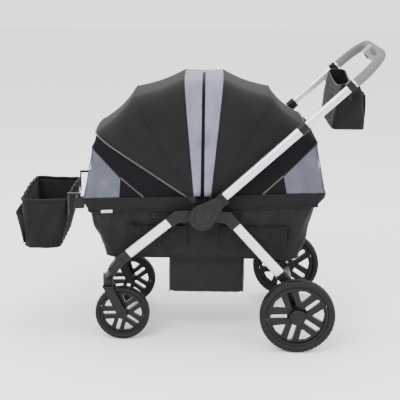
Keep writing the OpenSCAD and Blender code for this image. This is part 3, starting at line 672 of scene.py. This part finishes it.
rows = [basket_ring(t) for t in levels]
for k in (0.7, 0.4, 0.02):
    c = rows[21].mean(0)
    rows.append(c + (rows[21] - c) * [k, k, 1])
basket = cloth_sheet("basket_cloth", np.array(rows).transpose(1, 0, 2), 0.0035, wrap_u=True)
paint(basket, black_cloth)
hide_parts("basket_bag")
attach(basket, "basket")
lining_mat = woven("dark_lining", (0.010, 0.010, 0.012), rough=0.85, sheen=0.04)
lining = cloth_sheet(
    "basket_lining",
    np.array([basket_ring(t, 0.0045) for t in np.linspace(0.03, 0.97, 14)]).transpose(1, 0, 2), 0.0012,
    wrap_u=True)
paint(lining, lining_mat)
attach(lining, "basket")
basket_rim = cord_along("basket_rim_binding", basket_ring(0.0) + [0, 0, 0.001], 0.0062, closed=True)
paint(basket_rim, black_cloth)
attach(basket_rim, "basket")
basket_foot = cord_along("basket_bottom_piping", basket_ring(1.0), 0.003, closed=True)
paint(basket_foot, binding_cloth)
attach(basket_foot, "basket")
band_low = cord_along("basket_band_seam", basket_ring(0.27, -0.002), 0.0024, closed=True)
paint(band_low, binding_cloth)
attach(band_low, "basket")
for s, tag in hands:
    fall = np.linspace(0.27, 0.98, 24)
    line = np.array(
        [[hub[0] - 0.548 - 0.004 * t, s * (0.1905 - 0.008 * t), hub[2] + 0.033 - 0.188 * t] for t in fall]
    )
    side_seam = cord_along("basket_side_seam_" + tag, line, 0.0022)
    paint(side_seam, binding_cloth)
    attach(side_seam, "basket")
u = np.linspace(0, 1, 30)[:, None]
w = np.linspace(0, 1, 14)[None, :]
x = (
    -0.673 - 0.044 * np.sin(math.pi * u) ** 0.3 * (1 - w) ** 0.9
    + 0.002 * np.sin(30 * u + 4 * w) * w * (1 - w))
pocket = cloth_sheet(
    "basket_front_pocket",
    np.stack(
        [
            hub[0] + x, -0.176 + 0.352 * u + 0 * w,
            hub[2] - 0.030 - 0.012 * np.sin(math.pi * u) * (1 - w) - 0.112 * w],
        axis=2),
    0.0025)
paint(pocket, black_cloth)
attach(pocket, "basket")

# ---- Organizer: a soft bag hung between the handle tubes, open on top, with
# a gathered rear pocket.
# The handle leans 42.7 degrees at rest, and the bag hangs 713 mm up it.
arm_tilt = math.radians(42.7)
ring_reach = 0.713
cx = ring_reach * math.cos(arm_tilt)
cz = ring_reach * math.sin(arm_tilt)


def bag_ring(t, inset=0.0, n=220):
    """One level of the bag from its rim (t = 0) to its sagging bottom."""
    x0 = cx - 0.030 + inset - 0.026 * t ** 0.8
    x1 = cx + 0.034 - inset + 0.026 * t ** 0.6
    r = plan(x0, x1, 0.224 - inset - 0.012 * t, 0.022, n)
    q = np.linspace(0, 2 * math.pi, n, endpoint=False)
    mid = np.array([(x0 + x1) / 2, 0])
    out = r - mid
    bulge = 0.006 * math.sin(math.pi * t) + 0.0022 * np.sin(15 * q + 7 * t) * math.sin(math.pi * t)
    r = r + out / np.linalg.norm(out, axis=1, keepdims=True) * (bulge - 0.002)[:, None]
    z = (
        -0.002 - 0.164 * t - 0.026 * (1 - t) * (1 - (r[:, 1] / 0.226) ** 2)
        - 0.006 * np.cos(r[:, 1] / 0.224 * math.pi / 2) * t)
    return np.stack([hub[0] + r[:, 0], r[:, 1], hub[2] + cz + z], axis=1)


rows = [bag_ring(t) for t in np.linspace(0, 1, 22)]
for k in (0.8, 0.5, 0.02):
    c = rows[21].mean(0)
    rows.append(c + (rows[21] - c) * [k, k, 1] - [0, 0, 0.002])
bag = cloth_sheet("organizer_cloth", np.array(rows).transpose(1, 0, 2), 0.003, wrap_u=True)
paint(bag, black_cloth)
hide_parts("organizer_bag")
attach(bag, "organizer")
bag_rim = cord_along("organizer_rim_binding", bag_ring(0.0), 0.004, closed=True)
paint(bag_rim, binding_cloth)
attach(bag_rim, "organizer")
bag_seam = cord_along("organizer_seam", bag_ring(0.22, -0.004), 0.0022, closed=True)
paint(bag_seam, binding_cloth)
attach(bag_seam, "organizer")
u = np.linspace(0, 1, 40)[:, None]
w = np.linspace(0, 1, 16)[None, :]
x = (
    cx + 0.056 + 0.014 * np.sin(math.pi * u) ** 0.4 * np.sin(math.pi * (0.2 + 0.8 * w)) + 0.004 * w
    + 0.002 * np.sin(40 * u) * np.exp(-3 * w))
rear_pocket = cloth_sheet(
    "organizer_rear_pocket",
    np.stack([hub[0] + x, -0.19 + 0.38 * u + 0 * w, hub[2] + cz - 0.045 - 0.105 * w + 0 * u], axis=2),
    0.002)
paint(rear_pocket, black_cloth)
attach(rear_pocket, "organizer")

# ---- Moulded and metal pieces keep their built shape. Black glass-filled
# nylon for the knuckles, hubs and forks, with a fine grain.


def moulded(name, color, rough, grain=0.0002):
    mat, tree, shader = base_material(name, color, rough)
    shader.inputs["Specular IOR Level"].default_value = 0.2
    coord = tree.nodes.new("ShaderNodeTexCoord")
    noise = tree.nodes.new("ShaderNodeTexNoise")
    noise.inputs["Scale"].default_value = 900.0
    bump = tree.nodes.new("ShaderNodeBump")
    bump.inputs["Strength"].default_value = 0.25
    bump.inputs["Distance"].default_value = grain
    tree.links.new(coord.outputs["Object"], noise.inputs["Vector"])
    tree.links.new(noise.outputs["Fac"], bump.inputs["Height"])
    tree.links.new(bump.outputs["Normal"], shader.inputs["Normal"])
    return mat


def dress(names, material, width, angle=32):
    """Rounds the sharp edges of built pieces and paints them."""
    for name in names:
        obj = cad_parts[name]
        paint(obj, material)
        obj.data.polygons.foreach_set("use_smooth", [True] * len(obj.data.polygons))
        bevel = obj.modifiers.new("edges", "BEVEL")
        bevel.width = width
        bevel.segments = 2
        bevel.limit_method = "ANGLE"
        bevel.angle_limit = math.radians(angle)
        bevel.harden_normals = True


nylon = moulded("black_nylon", (0.0050, 0.0050, 0.0055), 0.42)
dress(["hub_castings", "front_elbows", "rear_elbows", "front_knuckles", "rear_brackets", "handle_hubs",
       "caster_fork_left", "caster_fork_right"], nylon, 0.0022)
dress(
    [
        "collars", "handle_clips", "brake_pedal", "organizer_rings", "front_cross_tube", "pivot_pins",
        "basket_bracket", "basket_arms"],
    nylon, 0.0012)
dark = moulded("black_button", (0.006, 0.006, 0.006), 0.35)
dress(["release_button"], dark, 0.0012)
grey_nylon = moulded("grey_nylon", (0.2, 0.2, 0.21), 0.45)
dress(["release_housing"], grey_nylon, 0.002)

# Hub covers: a moulded plate over each handle hub, round at the pivot and
# narrowing to the tube, with a sunk glossy panel.


def cover_outline(big, small, reach, n=96):
    """Outline round a big circle at the pivot and a small one further up the
    tube, walked by the direction of its outward normal."""
    a = np.linspace(0, 2 * math.pi, n, endpoint=False)
    on_small = reach * np.cos(a) + small > big
    along = np.where(on_small, reach + small * np.cos(a), big * np.cos(a))
    across = np.where(on_small, small, big) * np.sin(a)
    return resample(np.stack([along, across], axis=1), n, closed=True)


for s, tag in hands:
    outline = cover_outline(0.0475, 0.0235, 0.078)
    panel_line = cover_outline(0.029, 0.0165, 0.042)

    def plate(name, levels):
        rows = []
        for line, share, out in levels:
            mid = np.array([0.018, 0.0])
            flat = mid + (line - mid) * share
            rows.append(
                np.stack(
                    [
                        hub[0] + flat[:, 0] * math.cos(arm_tilt) - flat[:, 1] * math.sin(arm_tilt),
                        np.full(len(flat), s * (side + out)),
                        hub[2] + flat[:, 0] * math.sin(arm_tilt) + flat[:, 1] * math.cos(arm_tilt)],
                    axis=1))
        return mesh_grid(name, np.array(rows).transpose(1, 0, 2), wrap_u=True)

    cover = plate(
        "hub_cover_" + tag,
        [
            (outline, 0.001, 0.0562), (outline, 0.99, 0.0562), (outline, 1.0, 0.0575),
            (outline, 1.0, 0.0605), (outline, 0.985, 0.0620), (outline, 0.95, 0.0628),
            (panel_line, 1.08, 0.0632), (panel_line, 1.03, 0.0630), (panel_line, 1.0, 0.0616),
            (panel_line, 0.001, 0.0616)])
    paint(cover, nylon)
    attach(cover, "handle_arms")
    gloss = plate(
        "hub_cover_panel_" + tag,
        [
            (panel_line, 0.001, 0.0614), (panel_line, 0.96, 0.0614), (panel_line, 0.96, 0.0622),
            (panel_line, 0.9, 0.0628), (panel_line, 0.001, 0.0630)])
    paint(gloss, dark)
    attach(gloss, "handle_arms")

# Rims: the same nylon colour, a little glossier; round snap caps close the rear hubs on the outside.
rim_nylon = moulded("rim_nylon", (0.0050, 0.0050, 0.0055), 0.38)
dress(["front_rim_left", "front_rim_right", "rear_rim_left", "rear_rim_right"], rim_nylon, 0.0016)


# Wheels: centre along and across, and radius, which is also the axle's height.
rear_axle_x = 0.36665
rear_wheel_y = 0.314
rear_radius = 0.140
front_axle_x = -0.28735
front_wheel_y = 0.205
front_radius = 0.1035


def cap_disc(name, x, y, z, radius, out):
    """A shallow domed disc turned about the axle, profile r against height."""
    prof = [
        (0.0001, 0.010), (radius * 0.45, 0.0095), (radius * 0.6, 0.007), (radius * 0.62, 0.0085),
        (radius * 0.9, 0.007), (radius, 0.003), (radius, -0.001), (0.0001, -0.001)]
    q = np.linspace(0, 2 * math.pi, 48, endpoint=False)
    pts = np.array([[[x + r * math.cos(a), y + out * h, z + r * math.sin(a)] for r, h in prof] for a in q])
    return mesh_grid(name, pts, wrap_u=True)


for s, tag in hands:
    rear_cap = cap_disc(
        "rear_hub_cap_" + tag, rear_axle_x, s * (rear_wheel_y + 0.0225), rear_radius, 0.030, s)
    paint(rear_cap, nylon)
    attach(rear_cap, "rear_wheel_" + tag)

# Tyres: solid foam tyres with a low block tread turned round the wheel.
tyre_mat = moulded("foam_tyre", (0.0045, 0.0045, 0.0048), 0.6, 0.0008)


def tyre(name, x, y, z, radius, width, blocks):
    """Section turned about the axle; shoulder blocks every turn / blocks."""
    r0 = radius * 0.8
    sec = [
        (r0 + 0.0008, -0.38), (r0 + 0.006, -0.47), (radius * 0.9, -0.5), (radius * 0.955, -0.46),
        (radius * 0.982, -0.40), (radius * 0.983, -0.38), (radius * 0.995, -0.30),
        (radius * 0.999, -0.16), (radius * 0.990, -0.15), (radius * 0.990, -0.11), (radius, -0.10),
        (radius, 0.10), (radius * 0.990, 0.11), (radius * 0.990, 0.15), (radius * 0.999, 0.16),
        (radius * 0.995, 0.30), (radius * 0.983, 0.38), (radius * 0.982, 0.40), (radius * 0.955, 0.46),
        (radius * 0.9, 0.5), (r0 + 0.006, 0.47), (r0 + 0.0008, 0.38)]
    n = blocks * 6
    pts = []
    for i in range(n):
        a = 2 * math.pi * i / n
        cut = 0.014 * radius if i % 6 in (4, 5) else 0.0
        row = []
        for r, w in sec:
            rr = r - cut if 0.2 < abs(w) < 0.42 and r > radius * 0.97 else r
            row.append([x + rr * math.cos(a), y + w * width, z + rr * math.sin(a)])
        pts.append(row)
    return mesh_grid(name, np.array(pts), wrap_u=True, wrap_v=True)


for s, tag in hands:
    big = tyre("rear_tyre_tread_" + tag, rear_axle_x, s * rear_wheel_y, rear_radius, rear_radius, 0.045, 48)
    paint(big, tyre_mat)
    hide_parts("rear_tyre_" + tag)
    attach(big, "rear_wheel_" + tag)
    small = tyre(
        "front_tyre_tread_" + tag, front_axle_x, s * front_wheel_y, front_radius, front_radius, 0.040, 40)
    paint(small, tyre_mat)
    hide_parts("front_tyre_" + tag)
    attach(small, "front_wheel_" + tag)

# Tubes: extruded aluminium, satin anodised, with long draw lines.
alu, alu_tree, alu_shader = base_material("satin_aluminium", (0.66, 0.68, 0.73), 0.34, 0.85)
alu_coord = alu_tree.nodes.new("ShaderNodeTexCoord")
alu_noise = alu_tree.nodes.new("ShaderNodeTexNoise")
alu_noise.inputs["Scale"].default_value = 60.0
alu_noise.inputs["Detail"].default_value = 4.0
alu_ramp = alu_tree.nodes.new("ShaderNodeMapRange")
alu_ramp.inputs["To Min"].default_value = 0.26
alu_ramp.inputs["To Max"].default_value = 0.40
alu_tree.links.new(alu_coord.outputs["Object"], alu_noise.inputs["Vector"])
alu_tree.links.new(alu_noise.outputs["Fac"], alu_ramp.inputs["Value"])
alu_tree.links.new(alu_ramp.outputs["Result"], alu_shader.inputs["Roughness"])
dress(["front_tubes", "rear_tubes", "outer_tubes", "handle_loop", "rim_rail"], alu, 0.0008, 40)

# Steel: plated axles and pins; canopy bows and end hoops are coated strip.
steel = base_material("plated_steel", (0.3, 0.3, 0.31), 0.4, 0.9)[0]
dress(["rear_axle", "brake_pin_left", "brake_pin_right"], steel, 0.0005)
coated = moulded("coated_strip", (0.009, 0.009, 0.01), 0.5)
dress(["end_bows", "mid_bow_front", "top_bow_front", "visor_bow_front", "mid_bow_rear", "top_bow_rear",
       "visor_bow_rear", "hoops"], coated, 0.0006)
board = moulded("pressed_board", (0.12, 0.09, 0.06), 0.8)
dress(["floor_boards"], board, 0.0006)

# Grip: matte grey foam sleeve with a fine pore texture.
foam = moulded("grip_foam_grey", (0.11, 0.11, 0.107), 0.85, 0.0006)
dress(["grip_foam"], foam, 0.0015)

# ---- Stage: a pale floor and soft studio light, camera level with the tub.
floor_mat = base_material("pale_floor", (0.9, 0.9, 0.9), 0.9)[0]
n = np.linspace(-1, 1, 2)
floor_pts = np.array([[[a * 14, b * 14, -0.0005] for b in n] for a in n])
floor = mesh_grid("floor", floor_pts)
paint(floor, floor_mat)
world = bpy.data.worlds.new("studio")
bpy.context.scene.world = world
world.use_nodes = True
world.node_tree.nodes["Background"].inputs["Color"].default_value = (1, 1, 1, 1)
world.node_tree.nodes["Background"].inputs["Strength"].default_value = 2.1
for name, place, size, power_w in (
    ("key", (-1.6, -3.0, 3.2), 2.0, 170), ("fill", (2.6, -2.4, 2.0), 2.6, 60),
    ("top", (0.0, 0.6, 3.8), 3.0, 110)):
    lamp = bpy.data.lights.new(name, "AREA")
    lamp.size = size
    lamp.energy = power_w
    light = bpy.data.objects.new(name, lamp)
    light.location = place
    aim = np.array([0, 0, 0.5]) - np.array(place)
    light.rotation_euler = (
        math.acos(-aim[2] / np.linalg.norm(aim)), 0, math.atan2(aim[1], aim[0]) - math.pi / 2)
    bpy.context.scene.collection.objects.link(light)
cam = bpy.data.cameras.new("camera")
cam.lens = 92.25
cam.sensor_width = 36
camera = bpy.data.objects.new("camera", cam)
az, el, roll = math.radians(0.5), math.radians(14.2), math.radians(0.7)
back = np.array([math.sin(az) * math.cos(el), -math.cos(az) * math.cos(el), math.sin(el)])
right = np.cross(-back, [0, 0, 1])
right /= np.linalg.norm(right)
up = np.cross(right, -back)
right, up = right * math.cos(roll) + up * math.sin(roll), up * math.cos(roll) - right * math.sin(roll)
place = np.array([0, 0, 0.495]) + back * 4.0
camera.matrix_world = Matrix([[right[k], up[k], back[k], place[k]] for k in range(3)] + [[0, 0, 0, 1]])
bpy.context.scene.collection.objects.link(camera)
bpy.context.scene.camera = camera
